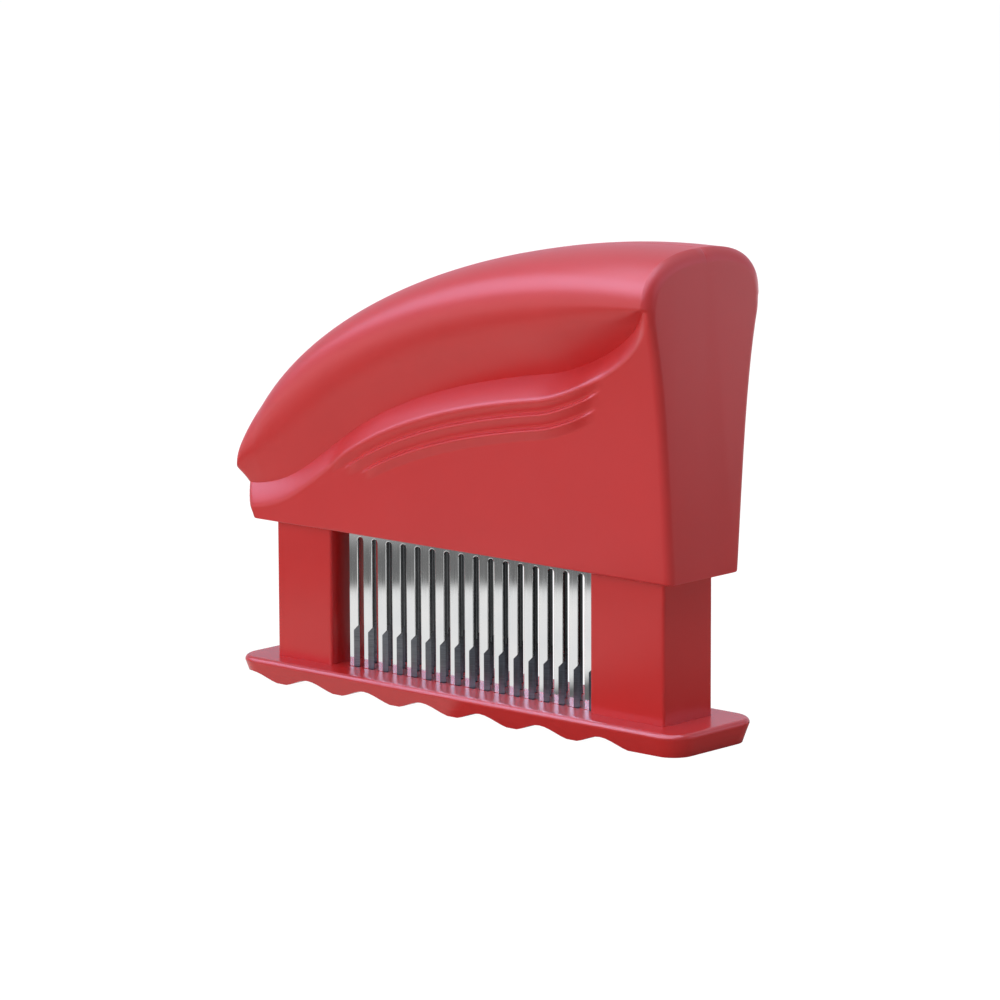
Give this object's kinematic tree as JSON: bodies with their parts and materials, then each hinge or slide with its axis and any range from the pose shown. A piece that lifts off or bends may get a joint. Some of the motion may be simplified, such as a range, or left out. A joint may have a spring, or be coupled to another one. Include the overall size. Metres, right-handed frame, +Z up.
{
  "type": "blade meat tenderizer",
  "caption": "Hand-held blade meat tenderizer: a sprung palm handle with finger grooves pushes rows of needle blades through a slotted, wavy guard plate.",
  "frame": {"origin": "middle of the footprint, on the plane that the guard stands on", "axes": "+X along the blade rows to the handle's tall end, +Y to the screwed rear side, +Z up, against the press"},
  "size_m": [0.1567, 0.0452, 0.1271],
  "materials": {
    "handle_plastic": "moulded red, glossy",
    "guard_plastic": "moulded red, glossy",
    "blade_steel": "polished stainless sheet with ground tips",
    "clamp_steel": "plain rolled stainless",
    "screw_steel": "zinc-plated",
    "spring_steel": "drawn spring wire",
    "cartridge_plastic": "moulded dark grey, matt"
  },
  "bodies": {
    "guard": {"base_plate": "guard_plastic", "left_post": "guard_plastic", "right_post": "guard_plastic", "post_screws": "screw_steel", "left_spring": "spring_steel", "right_spring": "spring_steel"},
    "handle": {"handle_front": "handle_plastic", "handle_rear": "handle_plastic", "shell_screws": "screw_steel", "comb_front": "blade_steel", "comb_middle": "blade_steel", "comb_rear": "blade_steel", "spacer_front": "cartridge_plastic", "spacer_rear": "cartridge_plastic", "clamp_front": "clamp_steel", "clamp_rear": "clamp_steel", "cartridge_bolts": "screw_steel", "cartridge_nuts": "screw_steel", "left_guide_rod": "cartridge_plastic", "right_guide_rod": "cartridge_plastic"}
  },
  "joints": [
    {"name": "press", "type": "slide", "parent": "guard", "child": "handle", "axis": [0, 0, -1], "range_m": [0, 0.028], "stiffness_N_per_m": 600, "springref_m": -0.012, "deforming": ["left_spring", "right_spring"]}
  ]
}
